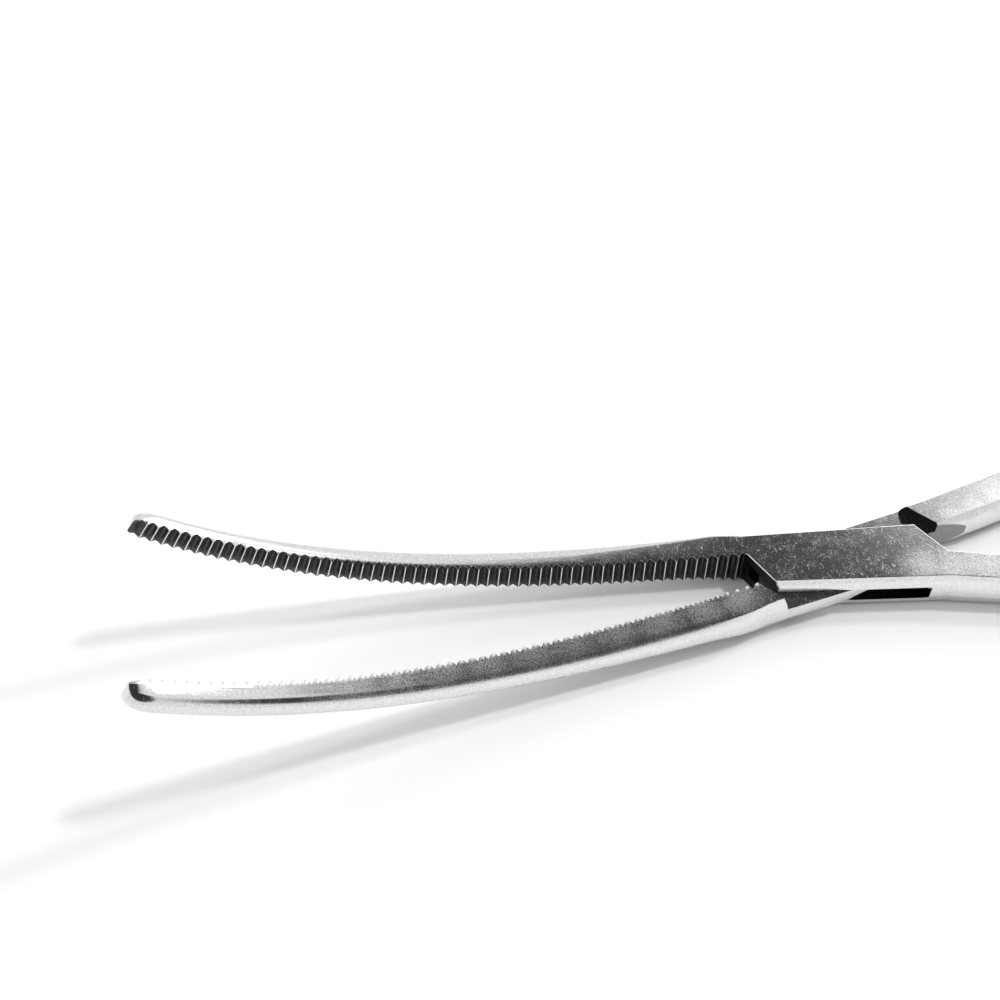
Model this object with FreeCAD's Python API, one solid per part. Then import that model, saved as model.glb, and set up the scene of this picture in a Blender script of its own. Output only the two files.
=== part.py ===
"""Curved hemostatic forceps with a box lock, lying flat, jaws opened.

Millimetres and degrees. The pivot axis is Z, and the underside of the box lock
lies in the plane Z = 0. The jaws point to -X and curl up, the finger rings are at +X.
Each half is first made closed, with its jaw at +Y and its shank at -Y.
The tongue half is then mirrored and swung open about the pivot.
"""
import FreeCAD, Part
import math
import os
from FreeCAD import Vector

# box lock
box_thickness = 4.4
box_front = 10.1
box_rear = 9.6
lock_angle = 60.0
half_width_jaw_side = 3.15
half_width_front = 2.95
half_width_rear_box_half = 3.9
half_width_rear_tongue_half = 3.55
side_bulge = 0.6
slot_reach = 10.3
slot_height = 1.75
tongue_side_gap = 0.04
tongue_end_gap = 0.12
shoulder_front_gap = 0.72
shoulder_rear_gap = 1.3

# pivot pin, flush with both plates
pin_radius = 1.6
pin_running_gap = 0.06

# jaws
jaw_root = 10.7
jaw_length = 63.6
jaw_tip_angle = 36.6
jaw_curl_power = 1.86
jaw_root_thickness = 3.7
jaw_tip_thickness = 2.5
jaw_root_width = 2.95
jaw_tip_width = 1.55
jaw_taper_power = 1.7
jaw_waist_length = 4.0
jaw_blend_length = 8.0
jaw_root_bulge = 0.7
jaw_tip_bulge = 0.45
jaw_back_depth = 1.4
jaw_back_fullness = 0.05
jaw_round_start = 3.0
jaw_round_end = 18.0
jaw_line_steps = 200
jaw_stations = 6
jaw_back_arcs = 3
jaw_lower_chamfer = 0.32
jaw_root_chamfer_share = 0.2
jaw_top_drop = 0.06
jaw_root_gap = 0.66
jaw_bow = 0.13
tip_round_length = 2.4
tip_end_width = 0.5
tip_end_thickness = 0.65
tip_relief = 0.3
tip_station_angles = (30, 52, 70, 90)

# cross serrations, full length, set half a pitch apart on the two jaws
tooth_pitch = 1.1
tooth_height = 0.5
first_groove = 0.16
groove_count = 58
groove_fullness_box_half = 0.72
groove_fullness_tongue_half = 0.3

# shanks
shank_start = 9.95
shank_inner_box_half = 0.6
shank_inner_tongue_half = 0.3
shank_width_box_half = 3.0
shank_width_tongue_half = 3.5
shank_end_width = 2.9
shank_bulge = 0.55
shank_splay_box_half = 10.5
shank_splay_tongue_half = 3.0
shank_start_pull = 22.0
shank_end_pull = 42.0
shank_end_x = 92.0
shank_end_offset = 8.3
shank_end_splay = 1.0
shank_stations = 8
relief_end = 14.5
relief_angle = 4.0

# finger rings, an oval of four arcs
ring_centre_reach = 16.6
ring_centre_drop = 11.0
ring_half_length = 15.6
ring_half_width = 12.2
ring_end_radius = 10.0
ring_bar_radius = 2.2
neck_end_half_width = 0.7
neck_end_half_height = 1.75
neck_end_bulge = 1.05
neck_pull = 4.5
neck_angle = 100.0
neck_stations = 4
web_thickness = 3.0
web_fillet_radius = 5.0
web_bury = 0.8

# ratchet
ratchet_setback = 8.0
ratchet_bar_width = 5.0
ratchet_base_width = 8.0
ratchet_reach = 5.2
ratchet_thickness = 2.0
ratchet_gap = 0.1
ratchet_tooth_pitch = 1.7
ratchet_tooth_height = 0.75
ratchet_tooth_count = 4
ratchet_end_round = 1.2

# pose
opening_angle = 14.8

mid = box_thickness / 2
lock_slope = 1 / math.tan(math.radians(lock_angle))
tongue_thickness = slot_height - 2 * tongue_side_gap
tongue_reach = slot_reach - tongue_end_gap
shoulder_front = box_front + shoulder_front_gap
shoulder_rear = box_rear + shoulder_rear_gap
far_out = 2 * box_front
ring_centre_x = shank_end_x + ring_centre_reach
ring_centre_offset = shank_end_offset + ring_centre_drop
ratchet_x = shank_end_x - ratchet_setback
Z = Vector(0, 0, 1)


def mix(a, b, w):
    return a + (b - a) * w


def section(origin, across, up, inner, outer):
    """Closed wire from two edges, each (offset, half height, bulge)."""
    def at(offset, height):
        return origin + across * offset + up * height

    def side(edge, outward, sign):
        offset, half, bulge = edge
        start, end = at(offset, sign * half), at(offset, -sign * half)
        if bulge == 0:
            return Part.makeLine(start, end)
        return Part.Arc(start, at(offset + outward * bulge, 0), end).toShape()

    top = Part.makeLine(at(inner[0], inner[1]), at(outer[0], outer[1]))
    back = side(outer, 1, 1)
    bottom = Part.makeLine(at(outer[0], -outer[1]), at(inner[0], -inner[1]))
    front = side(inner, -1, -1)
    return Part.Wire([top, back, bottom, front])


def prism(points, low, high):
    """Upright prism on a plan outline."""
    corners = [Vector(x, y, low) for x, y in points]
    face = Part.Face(Part.makePolygon(corners + corners[:1]))
    return face.extrude(Vector(0, 0, high - low))


def block(half_width_rear):
    """The full-width middle, from the jaw's root to the shank's start."""
    jaw_side = (half_width_jaw_side, mid, side_bulge)
    wires = []
    for x, half_width in ((-jaw_root, half_width_front), (shank_start, half_width_rear)):
        shank_side = (-half_width, mid, side_bulge)
        wires.append(section(Vector(x, 0, mid), Vector(0, 1, 0), Z, shank_side, jaw_side))
    return Part.makeLoft(wires, True, True)


def jaw_frame(s):
    """Centre of the grip face at a distance s from the root, its tangent and its upward normal."""
    x, z = -jaw_root, box_thickness - jaw_root_thickness / 2
    step = s / jaw_line_steps
    for i in range(jaw_line_steps):
        angle = jaw_angle((i + 0.5) * step)
        x -= math.cos(angle) * step
        z += math.sin(angle) * step
    angle = jaw_angle(s)
    return (Vector(x, 0, z), Vector(-math.cos(angle), 0, math.sin(angle)),
            Vector(math.sin(angle), 0, math.cos(angle)))


def jaw_angle(s):
    return math.radians(jaw_tip_angle) * (max(s, 0) / jaw_length) ** jaw_curl_power


def crest(s):
    """Offset of the serration crests from the closing plane."""
    w = s / jaw_length
    return jaw_root_gap * (1 - w) + 4 * jaw_bow * w * (1 - w) - tooth_height / 2


def jaw_section(s):
    """Flat top and bottom, a grip face with its lower edge chamfered, and a rounded back."""
    w = s / jaw_length
    near_root = max(0.0, 1 - s / jaw_blend_length) ** 2
    waist = (jaw_root_gap + jaw_root_width - half_width_jaw_side) * max(0.0, 1 - s / jaw_waist_length) ** 2
    tip = max(0.0, s - (jaw_length - tip_round_length)) / tip_round_length
    roundness = math.sqrt(max(0.0, 1 - tip * tip))
    narrowing = mix(tip_end_width, 1, roundness)
    bulge = mix(mix(jaw_root_bulge, jaw_tip_bulge, w), side_bulge, near_root)
    taper = (jaw_root_width - jaw_tip_width) * (1 - w) ** jaw_taper_power
    reach = tooth_height / 2 + jaw_tip_width + taper - waist
    rounding = min(1.0, max(0.0, (s - jaw_round_start) / (jaw_round_end - jaw_round_start)))
    back = mix(bulge, jaw_back_depth, rounding)
    flat = (reach + bulge + jaw_back_fullness * rounding - back) * narrowing
    deepening = near_root * (box_thickness - jaw_root_thickness) / 2
    thickness = mix(jaw_root_thickness, jaw_tip_thickness, w) * mix(tip_end_thickness, 1, roundness)
    half = thickness / 2 + deepening
    outer_half = half - jaw_top_drop * (1 - near_root)
    chamfer = jaw_lower_chamfer * mix(1, jaw_root_chamfer_share, near_root) * narrowing
    nose = tip_relief * tip ** 2
    origin, _, normal = jaw_frame(s)
    origin -= normal * deepening

    def at(offset, height):
        return origin + Vector(0, crest(s) + offset, 0) + normal * height

    arc_radius = (outer_half ** 2 + bulge ** 2) / (2 * bulge)
    points = []
    for k in range(2 * jaw_back_arcs + 1):
        turn = math.pi * k / (2 * jaw_back_arcs)
        height = outer_half * math.cos(turn)
        arc = (math.sqrt(arc_radius ** 2 - height ** 2) - arc_radius + bulge) / bulge
        points.append(at(flat + back * narrowing * mix(arc, math.sin(turn), rounding), height))
    edges = [Part.Arc(*points[2 * k:2 * k + 3]).toShape() for k in range(jaw_back_arcs)]
    corners = [points[-1], at(nose + chamfer, -half), at(nose, -half + chamfer), at(nose, half), points[0]]
    edges += [Part.makeLine(a, b) for a, b in zip(corners, corners[1:])]
    return Part.Wire(edges)


def jaw():
    body_end = jaw_length - tip_round_length
    stations = [0, jaw_blend_length / 4, jaw_blend_length / 2, jaw_blend_length]
    stations += [mix(jaw_blend_length, body_end, k / jaw_stations) for k in range(1, jaw_stations + 1)]
    stations += [body_end + tip_round_length * math.sin(math.radians(a)) for a in tip_station_angles]
    return Part.makeLoft([jaw_section(s) for s in stations], True, False)


def groove(s, fullness):
    """Cutter across the grip face; a full one leaves thin crests, a lean one leaves round teeth."""
    origin, tangent, normal = jaw_frame(s)
    across = Vector(0, 1, 0)
    shoulder = fullness * tooth_height
    outline = [(-tooth_height, -2 * tooth_height), (tooth_height, -2 * tooth_height), (tooth_height, 0),
               (tooth_height / 2, shoulder), (0, tooth_height), (-tooth_height / 2, shoulder),
               (-tooth_height, 0)]
    corners = [origin + tangent * u + across * (crest(s) + v) - normal * box_thickness for u, v in outline]
    face = Part.Face(Part.makePolygon(corners + corners[:1]))
    return face.extrude(normal * 2 * box_thickness)


def ring_side_radius():
    a, b, e = ring_half_length, ring_half_width, ring_end_radius
    return ((a - e) ** 2 + b ** 2 - e ** 2) / (2 * (b - e))


def neck_end():
    """Point on the middle of the ring's inner side, and the direction there."""
    side_radius = ring_side_radius()
    angle = math.radians(neck_angle)
    centre = Vector(ring_centre_x, -ring_centre_offset + ring_half_width - side_radius, mid)
    outward = Vector(math.cos(angle), math.sin(angle), 0)
    return centre + outward * side_radius, Vector(outward.y, -outward.x, 0)


def curve_between(start, start_way, start_pull, end, end_way, end_pull):
    curve = Part.BezierCurve()
    curve.setPoles([start, start + start_way * start_pull, end - end_way * end_pull, end])
    return curve


def shank(inner, half_width_rear, shank_width, splay):
    """From the box lock to the inner side of the ring, in two stretches."""
    start_width = half_width_rear - inner
    start = Vector(shank_start, -inner - start_width / 2, mid)
    end = Vector(shank_end_x, -shank_end_offset, mid)
    a, b = math.radians(splay), math.radians(shank_end_splay)
    start_way, end_way = Vector(math.cos(a), -math.sin(a), 0), Vector(math.cos(b), -math.sin(b), 0)
    ring_point, ring_way = neck_end()
    straight = curve_between(start, start_way, shank_start_pull, end, end_way, shank_end_pull)
    neck = curve_between(end, end_way, neck_pull, ring_point, ring_way, neck_pull)
    straight_wires, neck_wires = [], []
    for k in range(shank_stations + 1):
        done = (k - 1) / (shank_stations - 1)
        width = start_width if k == 0 else mix(shank_width, shank_end_width, done)
        bulge = side_bulge if k == 0 else shank_bulge
        straight_wires.append(shank_section(straight, k / shank_stations, width / 2, mid, bulge,
                                            square=(k == 0)))
    for k in range(neck_stations + 1):
        done = k / neck_stations
        half = mix(shank_end_width / 2, neck_end_half_width, done)
        height = mix(mid, neck_end_half_height, done)
        bulge = mix(shank_bulge, neck_end_bulge, done)
        neck_wires.append(shank_section(neck, done, half, height, bulge, square=False))
    return Part.makeLoft(straight_wires, True, False).fuse(Part.makeLoft(neck_wires, True, False))


def shank_section(curve, t, half, height, bulge, square):
    tangent = Vector(1, 0, 0) if square else curve.tangent(t)[0]
    across = Vector(-tangent.y, tangent.x, 0)
    return section(curve.value(t), across, Z, (-half, height, bulge), (half, height, bulge))


def ring():
    """Oval of four arcs swept with a round bar."""
    e, side_radius = ring_end_radius, ring_side_radius()
    p, q = ring_half_length - e, side_radius - ring_half_width
    turn = math.atan2(q, p)
    centre = Vector(ring_centre_x, -ring_centre_offset, mid)
    arcs = []
    for middle, radius, start, end in (
            (Vector(p, 0, 0), e, -turn, turn),
            (Vector(0, -q, 0), side_radius, turn, math.pi - turn),
            (Vector(-p, 0, 0), e, math.pi - turn, math.pi + turn),
            (Vector(0, q, 0), side_radius, math.pi + turn, 2 * math.pi - turn)):
        circle = Part.Circle(centre + middle, Z, radius)
        arcs.append(Part.Arc(circle, start, end).toShape())
    path = Part.Wire(arcs)
    start = arcs[0].Vertexes[0].Point
    direction = arcs[0].tangentAt(arcs[0].FirstParameter)
    bar = Part.Wire(Part.makeCircle(ring_bar_radius, start, direction))
    return path.makePipeShell([bar], True, True)


def web():
    """Fills the crotch between shank and ring, with a round edge."""
    low = mid - web_thickness / 2
    shank_side = -shank_end_offset - shank_end_width / 2 - shank_bulge + web_bury
    front = Vector(ring_centre_x - ring_half_length + ring_end_radius, -ring_centre_offset, low)
    reach = ring_end_radius + ring_bar_radius - web_bury
    y = shank_side - web_fillet_radius
    x = front.x - math.sqrt((reach + web_fillet_radius) ** 2 - (y - front.y) ** 2)
    centre = Vector(x, y, low)
    on_shank = Vector(x, shank_side, low)
    on_ring = front + (centre - front).normalize() * reach
    middle = centre + ((on_shank + on_ring) * 0.5 - centre).normalize() * web_fillet_radius
    inside = front + Vector(-1, 1, 0).normalize() * ring_end_radius
    points = [on_ring, inside, Vector(inside.x, -shank_end_offset, low),
              Vector(x, -shank_end_offset, low), on_shank]
    edges = [Part.makeLine(a, b) for a, b in zip(points, points[1:])]
    edges.append(Part.Arc(on_shank, middle, on_ring).toShape())
    return Part.Face(Part.Wire(edges)).extrude(Vector(0, 0, web_thickness))


def ratchet():
    """Bar that reaches across the closing plane, with saw teeth on its lower face."""
    low = mid + ratchet_gap / 2
    inner = -shank_end_offset
    half_base, half = ratchet_base_width / 2, ratchet_bar_width / 2
    points = [(ratchet_x - half_base, inner), (ratchet_x + half_base, inner),
              (ratchet_x + half, inner + half_base), (ratchet_x + half, ratchet_reach),
              (ratchet_x - half, ratchet_reach), (ratchet_x - half, inner + half_base)]
    bar = prism(points, low, low + ratchet_thickness)
    for k in range(ratchet_tooth_count):
        y = ratchet_reach - ratchet_end_round / 2 - k * ratchet_tooth_pitch
        start = Vector(ratchet_x - half_base, y, low)
        corners = [start, start + Z * ratchet_tooth_height, start - Vector(0, ratchet_tooth_pitch, 0)]
        notch = Part.Face(Part.makePolygon(corners + corners[:1])).extrude(Vector(2 * half_base, 0, 0))
        bar = bar.cut(notch)
    return bar


def slanted(reach_low, reach_high, slope, low, high):
    """Slab between two parallel lines, x = reach + slope * y."""
    points = [(reach + slope * y, y) for reach, y in (
        (reach_low, -far_out), (reach_high, -far_out), (reach_high, far_out), (reach_low, far_out))]
    return prism(points, low, high)


def toothed_jaw(groove_start, fullness):
    """The jaw with every groove that fits before its rounded end."""
    places = [groove_start + k * tooth_pitch for k in range(groove_count)]
    return jaw().cut([groove(s, fullness) for s in places if s < jaw_length - tooth_height])


def single(shape):
    """The one solid of a fused shape; a shape that falls apart is an error."""
    solid, = shape.removeSplitter().Solids
    return solid


def box_half():
    jaw_part = toothed_jaw(first_groove, groove_fullness_box_half)
    middle = block(half_width_rear_box_half)
    shank_part = shank(shank_inner_box_half, half_width_rear_box_half, shank_width_box_half,
                       shank_splay_box_half)
    plates = slanted(-box_front, box_rear, -lock_slope, 0, box_thickness)
    root_corners = [(-far_out, jaw_root_gap), (0, jaw_root_gap), (0, far_out), (-far_out, far_out)]
    shank_corners = [(0, -far_out), (far_out, -far_out), (far_out, -shank_inner_box_half),
                     (0, -shank_inner_box_half)]
    keep_root, keep_shank = prism(root_corners, 0, box_thickness), prism(shank_corners, 0, box_thickness)
    middle = middle.common(plates.fuse([keep_root, keep_shank]))
    slot = slanted(-slot_reach, slot_reach, lock_slope, mid - slot_height / 2, mid + slot_height / 2)
    body = middle.fuse([jaw_part, shank_part, ring(), web(), ratchet()])
    body = body.cut([slot, Part.makeCylinder(pin_radius, box_thickness)])
    return single(body)


def tongue_half():
    jaw_part = toothed_jaw(first_groove + tooth_pitch / 2, groove_fullness_tongue_half)
    middle = block(half_width_rear_tongue_half)
    shank_part = shank(shank_inner_tongue_half, half_width_rear_tongue_half, shank_width_tongue_half,
                       shank_splay_tongue_half).cut(relief())
    tongue_low, tongue_high = mid - tongue_thickness / 2, mid + tongue_thickness / 2
    tongue = middle.common(slanted(-tongue_reach, tongue_reach, -lock_slope, tongue_low, tongue_high))
    front = slanted(-far_out - shoulder_front, -shoulder_front, lock_slope, 0, box_thickness)
    rear = slanted(shoulder_rear, shoulder_rear + far_out, lock_slope, 0, box_thickness)
    thick = middle.common(front.fuse(rear))
    between = slanted(-shoulder_front, shoulder_rear, lock_slope, tongue_high, box_thickness)
    under = slanted(-shoulder_front, shoulder_rear, lock_slope, 0, tongue_low)
    thick_rest = jaw_part.fuse(shank_part).cut([between, under])
    body = tongue.fuse([thick, thick_rest, ring(), web(), ratchet().mirror(Vector(0, 0, mid), Z)])
    body = body.cut(Part.makeCylinder(pin_radius + pin_running_gap, box_thickness))
    body = body.mirror(Vector(0, 0, 0), Vector(0, 1, 0))
    body.rotate(Vector(0, 0, 0), Z, opening_angle)
    return single(body)


def relief():
    """Milled flat on the inner side of the tongue half's shank, just behind the lock."""
    run_out = -shank_inner_tongue_half + (relief_end - shank_start) * math.tan(math.radians(relief_angle))
    points = [(shank_start, -shank_inner_tongue_half), (relief_end, run_out), (relief_end, far_out),
              (shank_start, far_out)]
    return prism(points, 0, box_thickness)


def pivot_pin():
    return Part.makeCylinder(pin_radius, box_thickness)


os.makedirs("parts", exist_ok=True)
for name, make in (("box_half", box_half), ("tongue_half", tongue_half), ("pivot_pin", pivot_pin)):
    shape = make()
    print(name, shape.ShapeType, len(shape.Solids), shape.isValid(), round(shape.Volume, 2), shape.BoundBox)
    shape.exportStep(f"parts/{name}.step")
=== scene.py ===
import math
import bmesh
import bpy
from mathutils import Matrix, Vector


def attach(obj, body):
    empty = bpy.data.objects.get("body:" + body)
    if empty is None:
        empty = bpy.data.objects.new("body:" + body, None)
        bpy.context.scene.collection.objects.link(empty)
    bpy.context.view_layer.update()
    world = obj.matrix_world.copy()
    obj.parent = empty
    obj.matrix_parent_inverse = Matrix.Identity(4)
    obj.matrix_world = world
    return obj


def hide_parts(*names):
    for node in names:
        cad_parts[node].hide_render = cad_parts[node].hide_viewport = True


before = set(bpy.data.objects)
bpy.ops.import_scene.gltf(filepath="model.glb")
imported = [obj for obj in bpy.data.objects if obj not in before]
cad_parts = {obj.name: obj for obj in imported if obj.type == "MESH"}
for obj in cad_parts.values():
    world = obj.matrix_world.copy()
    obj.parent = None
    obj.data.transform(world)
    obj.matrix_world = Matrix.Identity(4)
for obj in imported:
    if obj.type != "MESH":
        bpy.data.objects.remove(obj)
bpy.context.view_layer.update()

# Sizes in millimetres and degrees, as in the part's source.
# lock
THICKNESS = 4.4
MID = THICKNESS / 2
SHOULDER_ANGLE = 60
SLOPE = 1 / math.tan(math.radians(SHOULDER_ANGLE))
BOX_FRONT, BOX_REAR = 10.1, 9.6
JAW_SIDE, SHANK_SIDE_FRONT, FRONT_WIDENING = 3.15, 2.95, 0.1
SIDE_BULGE = 0.6
SLOT_REACH, SLOT_HEIGHT = 10.3, 1.75
TONGUE_HEIGHT, TONGUE_REACH, TONGUE_FRONT_Y = 1.67, 10.18, 0.3
SHOULDER_FRONT, SHOULDER_REAR = 10.82, 10.9
RELIEF_END, RELIEF_ANGLE, RELIEF_TOP = 14.5, 4, 3
PIN_RADIUS, PIN_CLEARANCE = 1.6, 0.06
CUT_PAST = 1
OPEN = 14.8
# jaws
ROOT, LENGTH = 10.7, 63.6
TIP_ANGLE, CURL = 36.6, 1.86
ROOT_THICKNESS, TIP_THICKNESS = 3.7, 2.5
ROOT_WIDTH, TIP_WIDTH, TAPER = 2.95, 1.55, 1.7
ROOT_BULGE, TIP_BULGE = 0.7, 0.45
BLEND_LENGTH, WAIST_LENGTH = 8.0, 4.0
BACK, BACK_FULL, ROUND_START, ROUND_END = 1.4, 0.05, 3.0, 18.0
TIP_ROUND, TIP_NARROW, TIP_THIN, TIP_RELIEF = 2.4, 0.5, 0.65, 0.3
CHAMFER, ROOT_CHAMFER_SHARE, DROP = 0.32, 0.2, 0.06
ROOT_GAP, BOW = 0.66, 0.13
PITCH, TOOTH = 1.1, 0.5
# shanks, ratchet and finger rings
SHANK_START, SHANK_END_X, SHANK_END_Y, SHANK_END_WIDTH = 9.95, 92.0, 8.3, 2.9
SHANK_BULGE, SHANK_END_SPLAY = 0.55, 1.0
START_HANDLE, END_HANDLE, NECK_HANDLE, NECK_ANGLE = 22, 42, 4.5, 100.0
WIDTH_SPANS = 8
NECK_END_HALF_WIDTH, NECK_END_BULGE, NECK_END_HEIGHT = 0.7, 1.05, 1.75
RING_X, RING_Y, RING_LONG, RING_WIDE, RING_END, RING_BAR = 108.6, 19.3, 15.6, 12.2, 10.0, 2.2
WEB_THICKNESS, WEB_FILLET, WEB_SUNK, DIAGONAL = 3.0, 5.0, 0.8, 0.7071
RATCHET_X, RATCHET_REACH, RATCHET_THICKNESS, RATCHET_GAP = 84.0, 5.2, 2.0, 0.05
RATCHET_BASE, RATCHET_BASE_HEIGHT, RATCHET_BAR, RATCHET_CORNER = 4.0, 4.0, 2.5, 0.5
NOTCHES, NOTCH_START, NOTCH_PITCH, NOTCH_DEPTH, NOTCH_PAST = 4, 0.6, 1.7, 0.75, 5.0

# Where the two halves differ: the shank's two edges where it starts, its width, its splay,
# the place of the first groove and how full the teeth are.
HALVES = {
    "box_half": dict(inner=0.6, rear=3.9, width=3.0, splay=10.5, first=0.16, fullness=0.72),
    "tongue_half": dict(inner=0.3, rear=3.55, width=3.5, splay=3.0, first=0.71, fullness=0.3),
}

# How finely the meshes are drawn.
LINE_STEP = 0.05
HAIR = 0.01
JAW_RIM, ROOT_EDGE, BACK_EDGE = 0.03, 0.18, 0.35
ROOT_CORNER, BACK_CORNER, CORNER_STEPS, CHAMFER_STEPS = 12, 26, 4, 3
BACK_STEPS, GRIP_STEPS = 22, 5
TIP_STATION_ANGLES = (24, 47, 66, 78, 86)
STATION_SPACE = 0.03
DARK_TIP = 1
RIM_FACES, GRIP_FACES = 2, 8
BURIED_RINGS = ((0.9, 0.04), (0.16, 0.005))
SIDE_STEPS, SHANK_STEPS, NECK_STEPS = 26, 60, 16
LOCK_RIM, LOCK_ROWS, SHADED_FRONT_SIDES = 0.12, 14, 3
RIM_STEPS = ((0, 1.0), (0.12, 0.55), (0.5, 0.2), (1.0, 0.0))
MITRE_LIMIT = 0.2
RING_END_STEPS, RING_SIDE_STEPS, RING_ROUND_STEPS = 44, 40, 40
WEB_STEPS, BORE_STEPS = 16, 96
SHOULDER_FAR = 20.0

# Material numbers, in the order of the coats.
# the third coat is near-black: painted shade in the slot, between the shoulders, on the lock's front
# sides and at the jaw's root
STEEL, GRIP, PAINTED_SHADE, MILLED_AND_SHADED = 0, 1, 2, 3


def mix(a, b, w):
    return a + (b - a) * w


def smooth(w):
    w = min(1.0, max(0.0, w))
    return w * w * (3 - 2 * w)


def arc_rise(u, half, bulge):
    """How far a bulged side stands out at height u of a side of this half height."""
    if bulge < 1e-6:
        return 0.0
    radius = (half * half + bulge * bulge) / (2 * bulge)
    return math.sqrt(max(0.0, radius * radius - u * u)) - (radius - bulge)


def bezier(a, b, c, d, t):
    u = 1 - t
    return a * u ** 3 + b * 3 * u * u * t + c * 3 * u * t * t + d * t ** 3


def corner_curve(a, corner, b, steps):
    """Quadratic curve round a corner, ends included."""
    out = []
    for k in range(steps + 1):
        w = k / steps
        out.append(tuple(p * (1 - w) ** 2 + 2 * q * w * (1 - w) + r * w * w
                         for p, q, r in zip(a, corner, b)))
    return out


# Meshes are tuples of corners, faces and the material number of each face.

def sweep(rings, closed=False, paint=None):
    """Tube through closed loops; paint gives the number of a face from its place in the tube."""
    verts = [p for ring in rings for p in ring]
    n, m = len(rings[0]), len(rings)
    faces, numbers = [], []
    for i in range(m if closed else m - 1):
        j = (i + 1) % m
        for k in range(n):
            q = (k + 1) % n
            faces.append((i * n + k, i * n + q, j * n + q, j * n + k))
            numbers.append(paint(i, k, n) if paint else STEEL)
    if not closed:
        faces.append(tuple(range(n))[::-1])
        faces.append(tuple((m - 1) * n + k for k in range(n)))
        numbers += [STEEL, STEEL]
    return verts, faces, numbers


def prism(points, low, high, sides=STEEL, ends=STEEL):
    n = len(points)
    verts = [Vector((x, y, low)) for x, y in points] + [Vector((x, y, high)) for x, y in points]
    faces = [tuple(range(n))[::-1], tuple(range(n, 2 * n))]
    faces += [(i, (i + 1) % n, n + (i + 1) % n, n + i) for i in range(n)]
    return verts, faces, [ends, ends] + [sides] * n


def slanted(low_reach, high_reach, low, high, sides, ends):
    """Prism between the two slanted planes of the lock, wider than the lock."""
    lean = SLOPE * SHOULDER_FAR
    return prism([(low_reach - lean, -SHOULDER_FAR), (high_reach - lean, -SHOULDER_FAR),
                  (high_reach + lean, SHOULDER_FAR), (low_reach + lean, SHOULDER_FAR)],
                 low, high, sides, ends)


def cylinder(radius, low, high):
    turns = [2 * math.pi * k / BORE_STEPS for k in range(BORE_STEPS)]
    return prism([(radius * math.cos(turn), radius * math.sin(turn)) for turn in turns], low, high)


# jaws

def jaw_angle(s):
    return math.radians(TIP_ANGLE) * (s / LENGTH) ** CURL


def crest(s):
    """Y of the crests of the teeth at s."""
    w = s / LENGTH
    return ROOT_GAP * (1 - w) + 4 * BOW * w * (1 - w) - TOOTH / 2


def centre_line():
    """X and Z of the grip face's middle, at every LINE_STEP along the jaw."""
    points, x, z = [], -ROOT, THICKNESS - ROOT_THICKNESS / 2
    for k in range(int(LENGTH / LINE_STEP) + 2):
        points.append((x, z))
        a = jaw_angle((k + 0.5) * LINE_STEP)
        x -= math.cos(a) * LINE_STEP
        z += math.sin(a) * LINE_STEP
    return points


LINE = centre_line()


def jaw_place(s):
    """Point on the centre line and the jaw's upward direction there."""
    k = s / LINE_STEP
    i = int(k)
    x = mix(LINE[i][0], LINE[i + 1][0], k - i)
    z = mix(LINE[i][1], LINE[i + 1][1], k - i)
    a = jaw_angle(s)
    return Vector((x, 0, z)), Vector((math.sin(a), 0, math.cos(a)))


def groove_depth(s, half):
    """Depth of the serrations at s: thin crests on a full profile, round teeth on a lean one."""
    k = round((s - half["first"]) / PITCH)
    centre = half["first"] + k * PITCH
    if k < 0 or centre >= LENGTH - TOOTH:
        return 0.0
    u = abs(s - centre)
    if u >= TOOTH:
        return 0.0
    if u > TOOTH / 2:
        return half["fullness"] * TOOTH * (TOOTH - u) / (TOOTH / 2)
    return mix(TOOTH, half["fullness"] * TOOTH, u / (TOOTH / 2))


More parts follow.
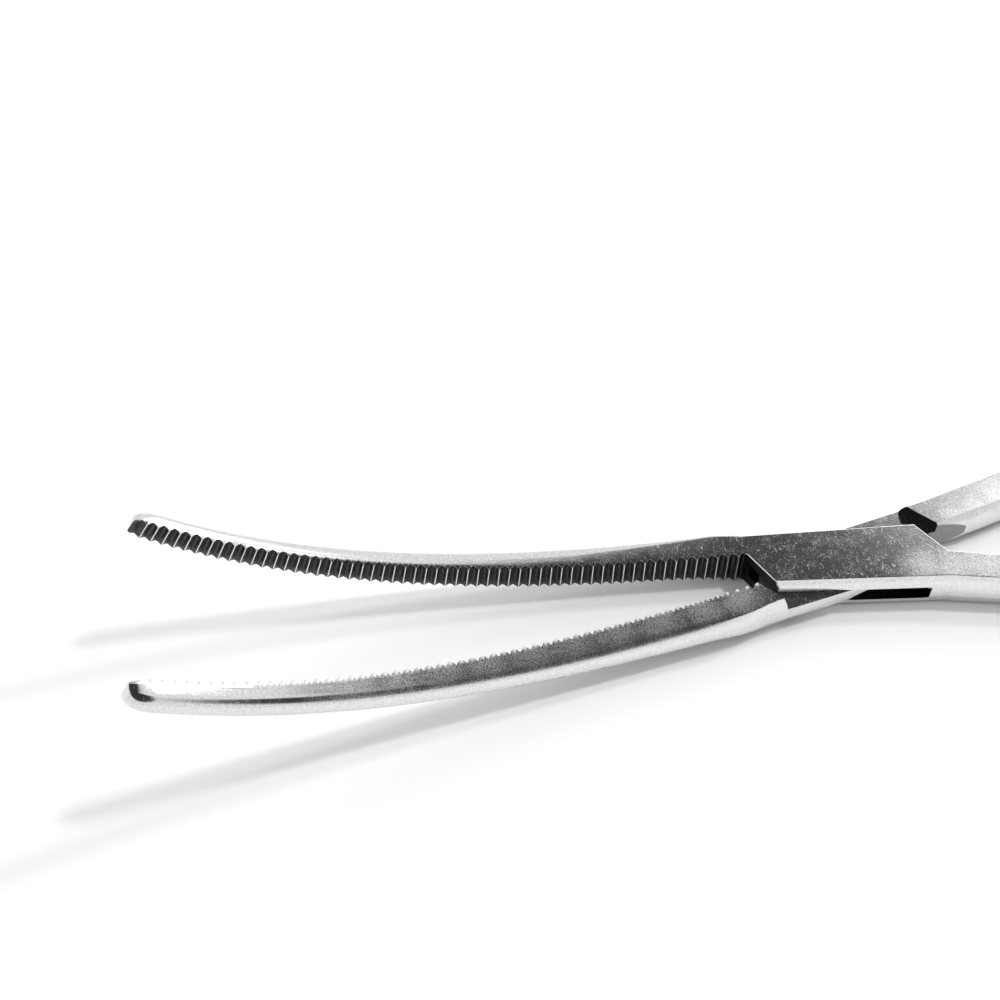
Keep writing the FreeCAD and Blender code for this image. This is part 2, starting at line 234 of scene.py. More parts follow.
def jaw_ring(s, half_of, behind=0.0, sunk=0.0):
    """Closed loop of points round the jaw's section, from the top of the grip face over the back.

    A ring behind the root lies inside the lock, sunk a little below its surfaces.
    """
    w = s / LENGTH
    near = max(0.0, 1 - s / BLEND_LENGTH) ** 2
    waist = (ROOT_GAP + ROOT_WIDTH - JAW_SIDE) * max(0.0, 1 - s / WAIST_LENGTH) ** 2
    tip = min(1.0, max(0.0, s - (LENGTH - TIP_ROUND)) / TIP_ROUND)
    round_off = math.sqrt(max(0.0, 1 - tip * tip))
    narrow = mix(TIP_NARROW, 1, round_off)
    bulge = mix(mix(ROOT_BULGE, TIP_BULGE, w), SIDE_BULGE, near)
    reach = TOOTH / 2 + TIP_WIDTH + (ROOT_WIDTH - TIP_WIDTH) * (1 - w) ** TAPER - waist
    rounding = min(1.0, max(0.0, (s - ROUND_START) / (ROUND_END - ROUND_START)))
    back = mix(bulge, BACK, rounding)
    flat = (reach + bulge + BACK_FULL * rounding - back) * narrow
    deep = near * (THICKNESS - ROOT_THICKNESS) / 2
    half = mix(ROOT_THICKNESS, TIP_THICKNESS, w) / 2 * mix(TIP_THIN, 1, round_off) + deep
    side = half - DROP * (1 - near)
    chamfer = CHAMFER * mix(1, ROOT_CHAMFER_SHARE, near) * narrow
    at, up = jaw_place(s)
    at = at - up * deep
    if behind > 0:
        at = Vector((-ROOT + behind, 0, MID))
        half, side, flat = half - sunk, side - sunk, flat - sunk
    inner = max(groove_depth(s, half_of), TIP_RELIEF * tip * tip)

    def rise(h):
        """How far the back stands out beyond the flats at height h."""
        radius = (side * side + bulge * bulge) / (2 * bulge)
        arc = (math.sqrt(max(0.0, radius * radius - h * h)) - radius + bulge) / bulge
        ellipse = math.sqrt(max(0.0, 1 - h * h / (side * side)))
        return back * narrow * mix(arc, ellipse, rounding)

    # top flat, from the rim of the grip face to the edge of the back
    top_start = max(inner + JAW_RIM + 2 * HAIR, (TOOTH + 8 * HAIR) * narrow)
    near_edge = max(top_start + 2 * HAIR, flat - mix(ROOT_EDGE, BACK_EDGE, rounding) * narrow)
    loop = [(inner, half - JAW_RIM), (inner + JAW_RIM * 0.4, half - JAW_RIM * 0.25),
            (inner + JAW_RIM, half), (top_start, half),
            (mix(top_start, near_edge, 0.5), mix(half, side, 0.5 * near_edge / flat))]
    # back, between two alike corners
    low = side * math.cos(math.radians(mix(ROOT_CORNER, BACK_CORNER, rounding)))
    corner = corner_curve((near_edge, mix(half, side, near_edge / flat)),
                          (flat + rise(side) * 0.5, side), (flat + rise(low), low), CORNER_STEPS)
    loop += corner
    first_turn = math.acos(low / side)
    for k in range(1, BACK_STEPS):
        h = side * math.cos(mix(first_turn, math.pi - first_turn, k / BACK_STEPS))
        loop.append((flat + rise(h), h))
    loop += [(y, -h) for y, h in reversed(corner)]
    # bottom flat, the chamfer at its inner edge and the grip face
    start = max(inner + 4 * HAIR, chamfer) + 3 * HAIR
    loop += [(mix(near_edge, start, 0.5), -half), (start, -half)]
    drop = max(2 * HAIR, chamfer - inner)
    foot = -half + 3 * HAIR + drop
    if inner + 4 * HAIR > chamfer:
        loop += corner_curve((inner + 2 * HAIR, -half + HAIR),
                             (inner + HAIR, -half + HAIR + drop * 0.12), (inner, foot), CHAMFER_STEPS)
    else:
        loop += corner_curve((chamfer, -half + HAIR / 2), (inner + HAIR, -half + HAIR),
                             (inner, foot), CHAMFER_STEPS)
    loop += [(inner, mix(foot, half - JAW_RIM, k / GRIP_STEPS)) for k in range(1, GRIP_STEPS)]
    return [at + Vector((0, crest(s) + y, 0)) + up * h for y, h in loop]


def jaw_mesh(half):
    stations = {0.0, LENGTH}
    k = 0
    while half["first"] + k * PITCH < LENGTH - TOOTH:
        for off in (-TOOTH, -TOOTH / 2, 0, TOOTH / 2, TOOTH):
            s = half["first"] + k * PITCH + off
            if STATION_SPACE < s < LENGTH - STATION_SPACE:
                stations.add(round(s, 4))
        k += 1
    for angle in TIP_STATION_ANGLES:
        s = LENGTH - TIP_ROUND + TIP_ROUND * math.sin(math.radians(angle))
        if min(abs(s - q) for q in stations) > STATION_SPACE:
            stations.add(s)
    places = sorted(stations)
    rings = [jaw_ring(0, half, behind, sunk) for behind, sunk in BURIED_RINGS]
    buried = len(rings)
    rings += [jaw_ring(s, half) for s in places]
    lean_teeth = half["fullness"] < 0.5

    def paint(i, k, n):
        """The grip face is dark in its grooves, between crests of polished steel."""
        # rims of the lean teeth get the darker milled coat as painted shade, which takes the glint off
        # them
        if k < RIM_FACES and i > buried and lean_teeth:
            return MILLED_AND_SHADED
        if k < n - GRIP_FACES:
            return STEEL
        # rings inside the lock, seen at the jaw's root, carry painted shade
        if i < buried:
            return PAINTED_SHADE
        middle = (places[i - buried] + places[i - buried + 1]) / 2
        return STEEL if groove_depth(middle, half) == 0 and middle < LENGTH - DARK_TIP else GRIP

    return sweep(rings, paint=paint)


# the lock and the shank: one outline in plan, with bulged sides

def ring_side_radius():
    """Radius of the long arcs of the finger ring."""
    return ((RING_LONG - RING_END) ** 2 + RING_WIDE ** 2 - RING_END ** 2) / (2 * (RING_WIDE - RING_END))


def along(curve, t):
    """Point and direction at t on a Bezier curve."""
    nudge = 1e-4
    way = bezier(*curve, min(1, t + nudge)) - bezier(*curve, max(0, t - nudge))
    return bezier(*curve, t), way.normalized()


def shank_line(half):
    """Stations of the shank: centre, direction, half width, bulge and half height."""
    start_width = half["rear"] - half["inner"]
    splay, end_splay, angle = (math.radians(a) for a in (half["splay"], SHANK_END_SPLAY, NECK_ANGLE))
    start = Vector((SHANK_START, -half["inner"] - start_width / 2))
    end = Vector((SHANK_END_X, -SHANK_END_Y))
    start_way = Vector((math.cos(splay), -math.sin(splay)))
    end_way = Vector((math.cos(end_splay), -math.sin(end_splay)))
    radius = ring_side_radius()
    out = Vector((math.cos(angle), math.sin(angle)))
    on_ring = Vector((RING_X, -RING_Y + RING_WIDE - radius)) + out * radius
    ring_way = Vector((out.y, -out.x))
    shank = (start, start + start_way * START_HANDLE, end - end_way * END_HANDLE, end)
    neck = (end, end + end_way * NECK_HANDLE, on_ring - ring_way * NECK_HANDLE, on_ring)
    stations = []
    for k in range(SHANK_STEPS + 1):
        t = k / SHANK_STEPS
        w = t * WIDTH_SPANS
        if w < 1:
            width = mix(start_width, half["width"], smooth(w))
        else:
            width = mix(half["width"], SHANK_END_WIDTH, (w - 1) / (WIDTH_SPANS - 1))
        bulge = mix(SIDE_BULGE, SHANK_BULGE, min(1, w))
        stations.append((*along(shank, t), width / 2, bulge, MID))
    for k in range(1, NECK_STEPS + 1):
        t = k / NECK_STEPS
        stations.append((*along(neck, t), mix(SHANK_END_WIDTH / 2, NECK_END_HALF_WIDTH, t),
                         mix(SHANK_BULGE, NECK_END_BULGE, t), mix(MID, NECK_END_HEIGHT, t)))
    return stations


def outline(name):
    """Plan points of lock and shank, anticlockwise, each with its side's bulge and half height."""
    half = HALVES[name]
    stations = shank_line(half)
    points = []
    if name == "box_half":
        front, front_y, rear = BOX_FRONT, ROOT_GAP, BOX_REAR
    else:
        front, front_y, rear = TONGUE_REACH, TONGUE_FRONT_Y, TONGUE_REACH

    def add(x, y, bulge, height=MID):
        points.append((Vector((x, y)), bulge, height))

    def end_flat():
        """The side that starts at the last point doesn't bulge."""
        p, _, height = points[-1]
        points[-1] = (p, 0, height)

    def side_y(x):
        return -mix(SHANK_SIDE_FRONT, half["rear"], (x + ROOT) / (SHANK_START + ROOT))

    # slanted front
    add(-ROOT, JAW_SIDE, 0)
    add(-ROOT, front_y, 0)
    add(-front - SLOPE * front_y, front_y, 0)
    # shank side of the lock
    front_x = -front - SLOPE * (-SHANK_SIDE_FRONT - FRONT_WIDENING)
    for k in range(SIDE_STEPS):
        x = mix(front_x, SHANK_START, k / SIDE_STEPS)
        add(x, side_y(x), SIDE_BULGE)
    # outer side of the shank, its end on the ring and its inner side
    for centre, way, w, bulge, height in stations:
        p = centre + Vector((way.y, -way.x)) * w
        add(p.x, p.y, bulge, height)
    end_flat()
    for centre, way, w, bulge, height in reversed(stations):
        p = centre - Vector((way.y, -way.x)) * w
        add(p.x, p.y, bulge, height)
    end_flat()
    # slanted rear and jaw side of the lock
    if name == "tongue_half":
        add(SHANK_START, (rear - SHANK_START) / SLOPE, 0)
    rear_x = rear - SLOPE * JAW_SIDE
    for k in range(SIDE_STEPS):
        add(mix(rear_x, -ROOT, k / SIDE_STEPS), JAW_SIDE, SIDE_BULGE)
    return points


def outline_mesh(points):
    """Closed mesh with flat top and bottom on a plan outline; each side bulges by its own amount."""
    n = len(points)
    # each row: share of the height, share of the rim below the top, share of the rim's inset
    rows = [(1, drop, inset) for drop, inset in RIM_STEPS]
    rows += [(mix(1, -1, k / LOCK_ROWS), 1.0, 0) for k in range(1, LOCK_ROWS)]
    rows += [(-1, drop, inset) for drop, inset in reversed(RIM_STEPS)]
    verts = []
    for share, drop, inset in rows:
        for i, (p, bulge, height) in enumerate(points):
            before, bulge_before, _ = points[i - 1]
            after = points[(i + 1) % n][0]
            flat = height - LOCK_RIM
            z = share * (height - LOCK_RIM * drop)
            u = min(abs(z), flat)
            d1 = arc_rise(u, flat, bulge_before) - LOCK_RIM * inset
            d2 = arc_rise(u, flat, bulge) - LOCK_RIM * inset
            e1, e2 = (p - before).normalized(), (after - p).normalized()
            n1, n2 = Vector((e1.y, -e1.x)), Vector((e2.y, -e2.x))
            cross = n1.x * n2.y - n1.y * n2.x
            if abs(cross) < MITRE_LIMIT:
                q = p + (n1 + n2).normalized() * (d1 + d2) / 2
            else:
                q = p + Vector(((d1 * n2.y - d2 * n1.y) / cross, (n1.x * d2 - n2.x * d1) / cross))
            verts.append(Vector((q.x, q.y, MID + z)))
    faces, numbers = [], []
    m = len(rows)
    first_side = len(RIM_STEPS) - 1
    for r in range(m - 1):
        wall = first_side <= r <= m - 2 - first_side
        for i in range(n):
            j = (i + 1) % n
            faces.append((r * n + i, (r + 1) * n + i, (r + 1) * n + j, r * n + j))
            # the first sides, at the jaw's root and the slanted front, carry painted shade
            numbers.append(PAINTED_SHADE if i < SHADED_FRONT_SIDES and wall else STEEL)
    faces.append(tuple(range(n)))
    faces.append(tuple((m - 1) * n + i for i in range(n))[::-1])
    return verts, faces, numbers + [STEEL, STEEL]


def ring_mesh():
    """Oval finger ring: a round bar along four arcs."""
    radius = ring_side_radius()
    p, q = RING_LONG - RING_END, radius - RING_WIDE
    turn = math.atan2(q, p)
    arcs = (((p, 0), RING_END, -turn, turn, RING_END_STEPS),
            ((0, -q), radius, turn, math.pi - turn, RING_SIDE_STEPS),
            ((-p, 0), RING_END, math.pi - turn, math.pi + turn, RING_END_STEPS),
            ((0, q), radius, math.pi + turn, 2 * math.pi - turn, RING_SIDE_STEPS))
    turns = [2 * math.pi * k / RING_ROUND_STEPS for k in range(RING_ROUND_STEPS)]
    rings = []
    for (x, y), r, a, b, steps in arcs:
        for k in range(steps):
            t = mix(a, b, k / steps)
            at = Vector((RING_X + x + r * math.cos(t), -RING_Y + y + r * math.sin(t), MID))
            out = Vector((math.cos(t), math.sin(t), 0))
            rings.append([at + out * RING_BAR * math.cos(u) + Vector((0, 0, RING_BAR * math.sin(u)))
                          for u in turns])
    return sweep(rings, closed=True)


def web_mesh():
    """Plate that fills the corner between the shank's outer side and the finger ring."""
    low = MID - WEB_THICKNESS / 2
    shank_side = -SHANK_END_Y - SHANK_END_WIDTH / 2 - SHANK_BULGE + WEB_SUNK
    cx, cy = RING_X - RING_LONG + RING_END, -RING_Y
    reach = RING_END + RING_BAR - WEB_SUNK
    y = shank_side - WEB_FILLET
    x = cx - math.sqrt((reach + WEB_FILLET) ** 2 - (y - cy) ** 2)
    on_ring = Vector((cx, cy)) + (Vector((x, y)) - Vector((cx, cy))).normalized() * reach
    last = math.atan2(on_ring.y - y, on_ring.x - x)
    turns = [mix(math.pi / 2, last, k / WEB_STEPS) for k in range(WEB_STEPS + 1)]
    arc = [(x + WEB_FILLET * math.cos(turn), y + WEB_FILLET * math.sin(turn)) for turn in turns]
    inside = (cx - RING_END * DIAGONAL, cy + RING_END * DIAGONAL)
    points = [(x, -SHANK_END_Y)] + arc + [inside, (inside[0], -SHANK_END_Y)]
    return prism(points, low, low + WEB_THICKNESS)


def ratchet_mesh():
    """Bar of the ratchet on its wider base, before its notches are cut."""
    low = MID + RATCHET_GAP
    foot, shoulder = -SHANK_END_Y, -SHANK_END_Y + RATCHET_BASE_HEIGHT
    left, right = RATCHET_X - RATCHET_BAR, RATCHET_X + RATCHET_BAR
    below_corner = RATCHET_REACH - RATCHET_CORNER
    points = [(RATCHET_X - RATCHET_BASE, foot), (RATCHET_X + RATCHET_BASE, foot), (right, shoulder),
              (right, below_corner), (right - RATCHET_CORNER, RATCHET_REACH),
              (left + RATCHET_CORNER, RATCHET_REACH), (left, below_corner), (left, shoulder)]
    return prism(points, low, low + RATCHET_THICKNESS)


def notch_mesh(k):
    """Wedge that cuts the notch between two ratchet teeth."""
    low = MID + RATCHET_GAP
    under = low - 0.5
    steep = RATCHET_REACH - NOTCH_START - k * NOTCH_PITCH
    shallow = steep - NOTCH_PITCH
    verts = []
    for x in (RATCHET_X - NOTCH_PAST, RATCHET_X + NOTCH_PAST):
        verts += [Vector((x, steep, under)), Vector((x, steep, low + NOTCH_DEPTH)),
                  Vector((x, shallow, low)), Vector((x, shallow, under))]
    faces = [(0, 1, 2, 3), (7, 6, 5, 4), (0, 4, 5, 1), (1, 5, 6, 2), (2, 6, 7, 3), (3, 7, 4, 0)]
    return verts, faces, [STEEL] * len(faces)


# materials

BRIGHT_STEEL = (0.80, 0.81, 0.815)
HAZE_SCALE, GRAIN_SCALE, FLECK_SCALE = 1000.0, 6000.0, 11000.0
# each set of scratches: direction, scale, width and the threshold of what is kept
SCRATCH_SETS = ((25, 1080, 0.008, 0.57), (-62, 980, 0.007, 0.57), (88, 740, 0.006, 0.58))
# rubbed places with a painted highlight, in metres, with their radii: rougher and lighter in colour, on
# the shanks behind the lock, at the root of the lower jaw and in a row along the lower jaw
HIGHLIGHT_JAW_RADIUS = 0.0052
RUBBED_HIGHLIGHT_SPOTS = [((0.0127, 0.0037, 0.0044), 0.0026), ((0.0152, 0.0047, 0.0044), 0.0026),
          ((0.018, 0.006, 0.0044), 0.003), ((-0.0124, -0.0051, 0.0044), 0.0034),
          ((-0.0162, -0.0063, 0.0044), 0.0034), ((0.0133, -0.0029, 0.0044), 0.0042),
          ((0.0103, -0.0028, 0.0044), 0.0036), ((0.0073, -0.0024, 0.0044), 0.003)]
RUBBED_HIGHLIGHT_SPOTS += [(at, HIGHLIGHT_JAW_RADIUS) for at in (
    (-0.0505, -0.0157, 0.0087), (-0.0464, -0.0146, 0.0075), (-0.0422, -0.0135, 0.0065),
    (-0.038, -0.0124, 0.0057), (-0.0337, -0.0112, 0.0051), (-0.0295, -0.0101, 0.0047),
    (-0.0252, -0.0089, 0.0044), (-0.0209, -0.0078, 0.0043))]


def steel_nodes(name):
    mat = bpy.data.materials.new(name)
    mat.use_nodes = True
    tree = mat.node_tree
    shader = tree.nodes["Principled BSDF"]
    shader.inputs["Metallic"].default_value = 1.0
    where = tree.nodes.new("ShaderNodeTexCoord").outputs["Object"]
    return mat, tree, shader, where


def fill_inputs(tree, node, values):
    """Link or set the inputs of a node in order."""
    for socket, value in zip(node.inputs, values):
        if isinstance(value, bpy.types.NodeSocket):
            tree.links.new(value, socket)
        elif value is not None:
            socket.default_value = value


def math_node(tree, operation, a, b=None, c=None, clamp=False):
    node = tree.nodes.new("ShaderNodeMath")
    node.operation = operation
    node.use_clamp = clamp
    fill_inputs(tree, node, (a, b, c))
    return node.outputs[0]


def vector_node(tree, operation, *values):
    node = tree.nodes.new("ShaderNodeVectorMath")
    node.operation = operation
    fill_inputs(tree, node, values)
    return node


def band(tree, value, low, high, start=0.0, end=1.0):
    """Smooth ramp of a value from start at low to end at high."""
    node = tree.nodes.new("ShaderNodeMapRange")
    node.interpolation_type = "SMOOTHSTEP"
    fill_inputs(tree, node, (value, low, high, start, end))
    return node.outputs[0]


def noise(tree, where, scale, detail=3.0, rough=0.6):
    node = tree.nodes.new("ShaderNodeTexNoise")
    node.inputs["Scale"].default_value = scale
    node.inputs["Detail"].default_value = detail
    node.inputs["Roughness"].default_value = rough
    tree.links.new(where, node.inputs["Vector"])
    return node.outputs["Fac"]


def turned(tree, where, angle, stretch=(1, 1, 1)):
    node = tree.nodes.new("ShaderNodeMapping")
    node.inputs["Rotation"].default_value = (0, 0, math.radians(angle))
    node.inputs["Scale"].default_value = stretch
    tree.links.new(where, node.inputs["Vector"])
    return node.outputs[0]


def coloured(tree, shader, base, light):
    """Base colour of the shader, made lighter and darker by a value."""
    node = vector_node(tree, "SCALE", base)
    tree.links.new(light, node.inputs["Scale"])
    tree.links.new(node.outputs[0], shader.inputs["Base Color"])


def scratches(tree, where, angle, scale, width, keep):
    """Thin broken lines along one direction."""
    bend = noise(tree, where, 300.0, 1.0)
    bent = vector_node(tree, "MULTIPLY_ADD", bend, (0.0022, 0.0022, 0.0), where).outputs[0]
    line = tree.nodes.new("ShaderNodeTexVoronoi")
    line.feature = "DISTANCE_TO_EDGE"
    line.inputs["Scale"].default_value = scale
    tree.links.new(turned(tree, bent, angle, (1.0, 0.22, 0.22)), line.inputs["Vector"])
    thin = band(tree, line.outputs["Distance"], width * 0.3, width, 1.0, 0.0)
    part = band(tree, noise(tree, turned(tree, where, angle + 40), scale * 1.6, 2.0), keep, keep + 0.05)
    return math_node(tree, "MULTIPLY", thin, part)


def worn_steel_with_highlights(name, rough, speckle, marks, shade=1.0, spots=()):
    """Polished steel with hazy patches, bright specks and short scratches; at its spots, rubbed places
    that are rougher and carry a painted highlight.
    """
    mat, tree, shader, where = steel_nodes(name)
    stretched = turned(tree, where, 0, (0.7, 1.0, 1.0))
    haze = noise(tree, stretched, HAZE_SCALE, 6.0, 0.75)
    grain = noise(tree, stretched, GRAIN_SCALE, 3.0, 0.7)
    fine = noise(tree, where, FLECK_SCALE, 2.0, 0.6)
    hazy = band(tree, haze, 0.44, 0.62, 0.15, 1.0)
    fleck = math_node(tree, "MULTIPLY", band(tree, fine, 0.60, 0.68), hazy)
    lines = scratches(tree, where, *SCRATCH_SETS[0])
    for scratch_set in SCRATCH_SETS[1:]:
        lines = math_node(tree, "MAXIMUM", lines, scratches(tree, where, *scratch_set))
    mark = math_node(tree, "MAXIMUM", fleck, math_node(tree, "MULTIPLY", lines, marks))
    for place, radius in spots:
        away = vector_node(tree, "DISTANCE", where, place).outputs["Value"]
        near = band(tree, away, 0.0, radius * 1.25, 1.0, 0.0)
        # spots: rougher, and lighter in colour as a painted highlight
        lit_rubbed_spot = math_node(tree, "MULTIPLY", near, band(tree, fine, 0.40, 0.62, 0.25, 0.8))
        mark = math_node(tree, "MAXIMUM", mark, lit_rubbed_spot)
    rough_value = math_node(tree, "ADD", band(tree, haze, 0.35, 0.75, rough * 0.85, rough * 1.25),
                            math_node(tree, "MULTIPLY", mark, 0.34 * speckle), clamp=True)
    tree.links.new(rough_value, shader.inputs["Roughness"])
    # marks lift the colour; at the spots this lift is a painted highlight
    light = math_node(tree, "ADD", band(tree, grain, 0.3, 0.65, 0.80 * shade, 1.0 * shade),
                      math_node(tree, "MULTIPLY", mark, 0.12 * speckle))
    coloured(tree, shader, BRIGHT_STEEL, light)
    height = math_node(tree, "ADD", math_node(tree, "MULTIPLY", grain, 0.6 * speckle),
                       math_node(tree, "MULTIPLY", lines, -0.6 * marks))
    bump = tree.nodes.new("ShaderNodeBump")
    bump.inputs["Strength"].default_value = 0.3
    bump.inputs["Distance"].default_value = 0.00002
    tree.links.new(height, bump.inputs["Height"])
    tree.links.new(bump.outputs[0], shader.inputs["Normal"])
    return mat


def dull_steel(name, base, scale, shade, rough):
    """Dark, uneven metal; shade and rough are the ranges of its lightness and roughness."""
    mat, tree, shader, where = steel_nodes(name)
    grain = noise(tree, where, scale)
    coloured(tree, shader, base, band(tree, grain, 0.35, 0.7, *shade))
    tree.links.new(band(tree, grain, 0.3, 0.7, *rough), shader.inputs["Roughness"])
    return mat


coats = [worn_steel_with_highlights("polished_steel", 0.14, 1.0, 0.5, spots=RUBBED_HIGHLIGHT_SPOTS),
         dull_steel("grip_steel", (0.058, 0.061, 0.063), 4200.0, (0.6, 1.6), (0.3, 0.5)),
         # near-black coat: painted shade
         dull_steel("painted_shade_steel", (0.016, 0.017, 0.018), 2600.0, (0.5, 1.3), (0.35, 0.55)),
         # darker coat: a milled finish on the relief, painted shade on the rims of the lean teeth
         worn_steel_with_highlights("milled_and_shaded_steel", 0.3, 1.2, 0.4, shade=0.35)]
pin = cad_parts["pivot_pin"]
pin.data.materials.clear()
pin.data.materials.append(coats[STEEL])


# pieces

METRES = 0.001
EDGE_ANGLE, EDGE_WIDTH, SHARP_ANGLE, FULL_WEIGHT = 58, 0.00004, 24, 100


def to_object(name, data):
    verts, faces, numbers = data
    mesh = bpy.data.meshes.new(name)
    mesh.from_pydata([tuple(v) for v in verts], [], faces)
    for coat in coats:
        mesh.materials.append(coat)
    for face, number in zip(mesh.polygons, numbers):
        face.material_index = number
    bm = bmesh.new()
    bm.from_mesh(mesh)
    bmesh.ops.recalc_face_normals(bm, faces=bm.faces)
    if bm.calc_volume(signed=True) < 0:
        bmesh.ops.reverse_faces(bm, faces=bm.faces)
    bm.to_mesh(mesh)
    bm.free()
    obj = bpy.data.objects.new(name, mesh)
    bpy.context.scene.collection.objects.link(obj)
    return obj


def apply_modifiers(obj):
    old = obj.data
    graph = bpy.context.evaluated_depsgraph_get()
    mesh = bpy.data.meshes.new_from_object(obj.evaluated_get(graph))
    obj.modifiers.clear()
    obj.data = mesh
    bpy.data.meshes.remove(old)


def boolean(target, tool, operation):
    """Join a tool to the target or cut it out, and remove the tool."""
    mod = target.modifiers.new("cut", "BOOLEAN")
    mod.operation = operation
    mod.solver = "EXACT"
    mod.object = tool
    apply_modifiers(target)
    mesh = tool.data
    bpy.data.objects.remove(tool)
    bpy.data.meshes.remove(mesh)


def build_half(name):
    half = HALVES[name]
    under, over = -CUT_PAST, THICKNESS + CUT_PAST
    body = to_object(name + "_piece", outline_mesh(outline(name)))
    for label, data in (("jaw", jaw_mesh(half)), ("ring", ring_mesh()), ("web", web_mesh())):
        boolean(body, to_object(label, data), "UNION")
    bar = to_object("bar", ratchet_mesh())
    for k in range(NOTCHES):
        boolean(bar, to_object("notch", notch_mesh(k)), "DIFFERENCE")
    if name == "tongue_half":
        bar.data.transform(Matrix.Translation((0, 0, 2 * MID)) @ Matrix.Scale(-1, 4, (0, 0, 1)))
        bar.data.flip_normals()
    boolean(body, bar, "UNION")
    if name == "box_half":
        # the slot's walls carry painted shade
        slot = slanted(-SLOT_REACH, SLOT_REACH, MID - SLOT_HEIGHT / 2, MID + SLOT_HEIGHT / 2,
                       sides=PAINTED_SHADE, ends=PAINTED_SHADE)
        boolean(body, to_object("slot", slot), "DIFFERENCE")
        boolean(body, to_object("bore", cylinder(PIN_RADIUS, under, over)), "DIFFERENCE")
    else:
        for low, high in ((MID + TONGUE_HEIGHT / 2, over), (under, MID - TONGUE_HEIGHT / 2)):
            # the walls between the shoulders carry painted shade
            between = slanted(-SHOULDER_FRONT, SHOULDER_REAR, low, high, sides=PAINTED_SHADE, ends=STEEL)
            boolean(body, to_object("between", between), "DIFFERENCE")
        inner = -half["inner"]
        run_out = inner + (RELIEF_END - SHANK_START) * math.tan(math.radians(RELIEF_ANGLE))
        # the relief's faces get the darker, rougher milled coat
        relief = prism([(SHANK_START, inner), (RELIEF_END, run_out), (RELIEF_END, RELIEF_TOP),
                        (SHANK_START, RELIEF_TOP)], under, over, sides=MILLED_AND_SHADED, ends=MILLED_AND_SHADED)
        boolean(body, to_object("relief", relief), "DIFFERENCE")
        bore = cylinder(PIN_RADIUS + PIN_CLEARANCE, under, over)
        boolean(body, to_object("bore", bore), "DIFFERENCE")
        body.data.transform(Matrix.Rotation(math.radians(OPEN), 4, "Z") @ Matrix.Scale(-1, 4, (0, 1, 0)))
        body.data.flip_normals()
    body.data.transform(Matrix.Scale(METRES, 4))
    return body


def finish_mesh(obj):
    """Small bevels, smooth curved stretches, and flat faces kept flat by weighted normals."""
    for p in obj.data.polygons:
        p.use_smooth = True
    soft = obj.modifiers.new("edges", "BEVEL")
    soft.limit_method = "ANGLE"
    soft.angle_limit = math.radians(EDGE_ANGLE)
    soft.width = EDGE_WIDTH
    soft.segments = 1
    soft.use_clamp_overlap = True
    soft.material = -1
    apply_modifiers(obj)
    obj.data.set_sharp_from_angle(angle=math.radians(SHARP_ANGLE))
    weights = obj.modifiers.new("weights", "WEIGHTED_NORMAL")
    weights.mode = "FACE_AREA"
    weights.weight = FULL_WEIGHT
    weights.keep_sharp = True
    apply_modifiers(obj)


for half_name in HALVES:
    piece = build_half(half_name)
    finish_mesh(piece)
    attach(piece, half_name)
    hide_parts(half_name)


# camera, at the photograph's view; angles in radians, place in metres, focal length in pixels
FOCAL, AZIMUTH, ELEVATION, ROLL = 1130.0, -0.0156, 0.8498, -0.0573
CAMERA_PLACE = (-0.03718, -0.07169, 0.09801)
PICTURE, SENSOR, CLIP_START = 1000, 36, 0.005
back = Vector((math.sin(AZIMUTH) * math.cos(ELEVATION), -math.cos(AZIMUTH) * math.cos(ELEVATION),
               math.sin(ELEVATION)))
right = Vector((math.cos(AZIMUTH), math.sin(AZIMUTH), 0))
up = back.cross(right)
turned_right = right * math.cos(ROLL) + up * math.sin(ROLL)
turned_up = -right * math.sin(ROLL) + up * math.cos(ROLL)
camera = bpy.data.objects.new("camera", bpy.data.cameras.new("camera"))
bpy.context.scene.collection.objects.link(camera)
stand = Matrix((turned_right, turned_up, back)).transposed().to_4x4()
stand.translation = CAMERA_PLACE
camera.matrix_world = stand
camera.data.sensor_width = SENSOR
camera.data.lens = FOCAL * SENSOR / PICTURE
camera.data.clip_start = CLIP_START
bpy.context.scene.camera = camera

# floor, a little below the instrument
FLOOR_HALF, FLOOR_Z, FLOOR_ROUGHNESS = 3, -0.0002, 0.8
FLOOR_COLOUR = (0.9, 0.9, 0.9, 1)
floor_mesh = bpy.data.meshes.new("floor")
corners = [(x * FLOOR_HALF, y * FLOOR_HALF, FLOOR_Z) for x, y in ((-1, -1), (1, -1), (1, 1), (-1, 1))]
floor_mesh.from_pydata(corners, [], [(0, 1, 2, 3)])
floor = bpy.data.objects.new("floor", floor_mesh)
bpy.context.scene.collection.objects.link(floor)
floor_mat = bpy.data.materials.new("floor")
floor_mat.use_nodes = True
floor_shader = floor_mat.node_tree.nodes["Principled BSDF"]
floor_shader.inputs["Base Color"].default_value = FLOOR_COLOUR
floor_shader.inputs["Roughness"].default_value = FLOOR_ROUGHNESS
floor.data.materials.append(floor_mat)


# lights

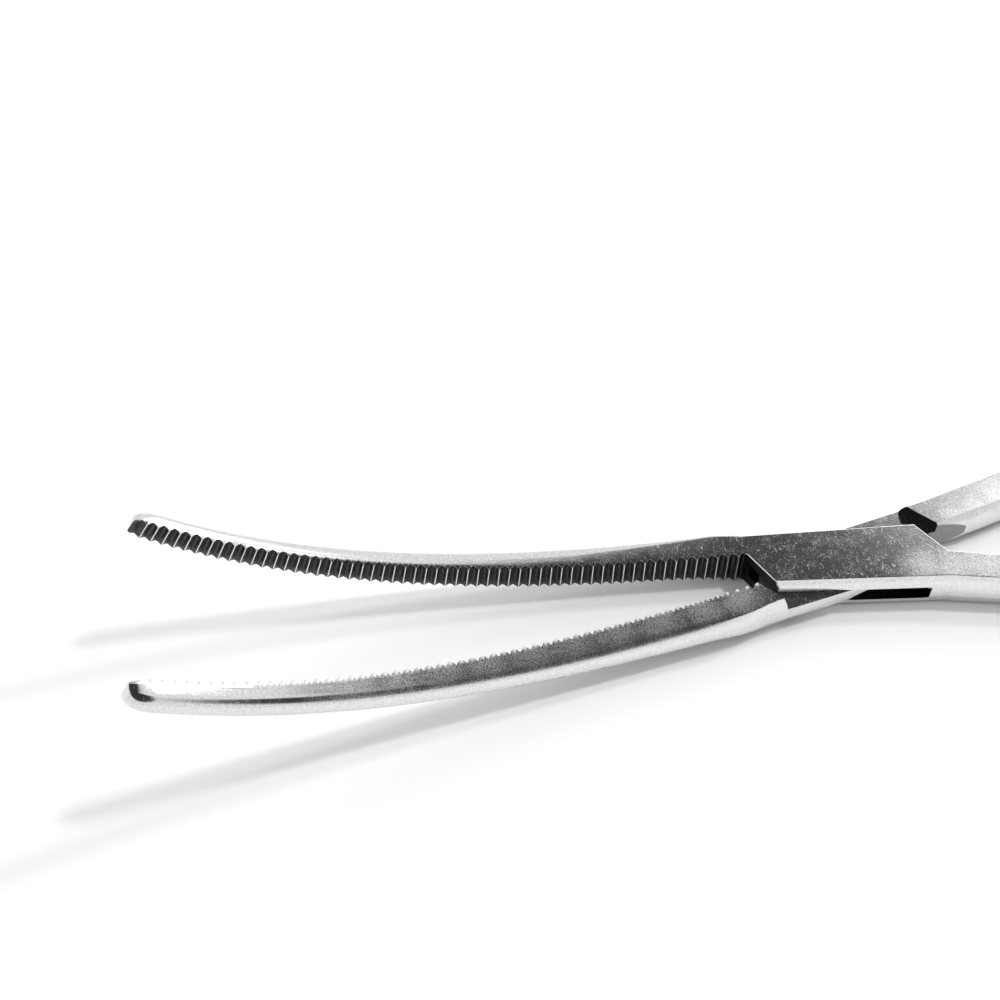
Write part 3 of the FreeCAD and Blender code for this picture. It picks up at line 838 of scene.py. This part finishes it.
def towards(azimuth, elevation):
    """Unit vector; azimuth turns from +Y towards +X."""
    az, el = math.radians(azimuth), math.radians(elevation)
    return Vector((math.sin(az) * math.cos(el), math.cos(az) * math.cos(el), math.sin(el)))


def softbox(name, azimuth, elevation, distance, width, height, radiance, mirrored=True):
    """Area light that faces the origin; an unmirrored one leaves no reflection in the metal."""
    data = bpy.data.lights.new(name, "AREA")
    data.shape = "RECTANGLE"
    data.size, data.size_y = width, height
    data.energy = radiance * math.pi * width * height
    obj = bpy.data.objects.new(name, data)
    bpy.context.scene.collection.objects.link(obj)
    way = towards(azimuth, elevation)
    obj.location = way * distance
    obj.rotation_euler = way.to_track_quat("Z", "Y").to_euler()
    obj.visible_glossy = mirrored


softbox("key", 64, 41, 1.2, 0.14, 0.14, 60, mirrored=False)
softbox("second", 77, 60, 1.2, 0.12, 0.12, 110, mirrored=False)
softbox("broad", 42, 25, 1.2, 0.86, 0.58, 3.0)
softbox("fill", 0, 90, 1.5, 2.0, 2.0, 0.46, mirrored=False)

# surroundings: pale all round, with a dark patch overhead and one behind the camera's right
# shoulder, where the flat tops look; each has its direction and the angles of its soft edge
DARK_PATCHES = ((5, 72, 26, 31), (158, 56, 33, 42))
PALE, DARK = 0.89, 0.042
WHITE = (1, 1, 1, 1)


def outside(tree, where, azimuth, elevation, inner, outer):
    """1 outside a cone of directions, 0 inside it."""
    dot = vector_node(tree, "DOT_PRODUCT", where, towards(azimuth, elevation)).outputs["Value"]
    return band(tree, dot, math.cos(math.radians(outer)), math.cos(math.radians(inner)), 1.0, 0.0)


world = bpy.data.worlds.new("world")
bpy.context.scene.world = world
world.use_nodes = True
sky = world.node_tree
sky_where = sky.nodes.new("ShaderNodeTexCoord").outputs["Generated"]
patches = [outside(sky, sky_where, *patch) for patch in DARK_PATCHES]
strength = math_node(sky, "MULTIPLY_ADD", math_node(sky, "MULTIPLY", *patches), PALE, DARK)
background = sky.nodes["Background"]
background.inputs["Color"].default_value = WHITE
sky.links.new(strength, background.inputs["Strength"])
bpy.context.scene.view_settings.view_transform = "Standard"
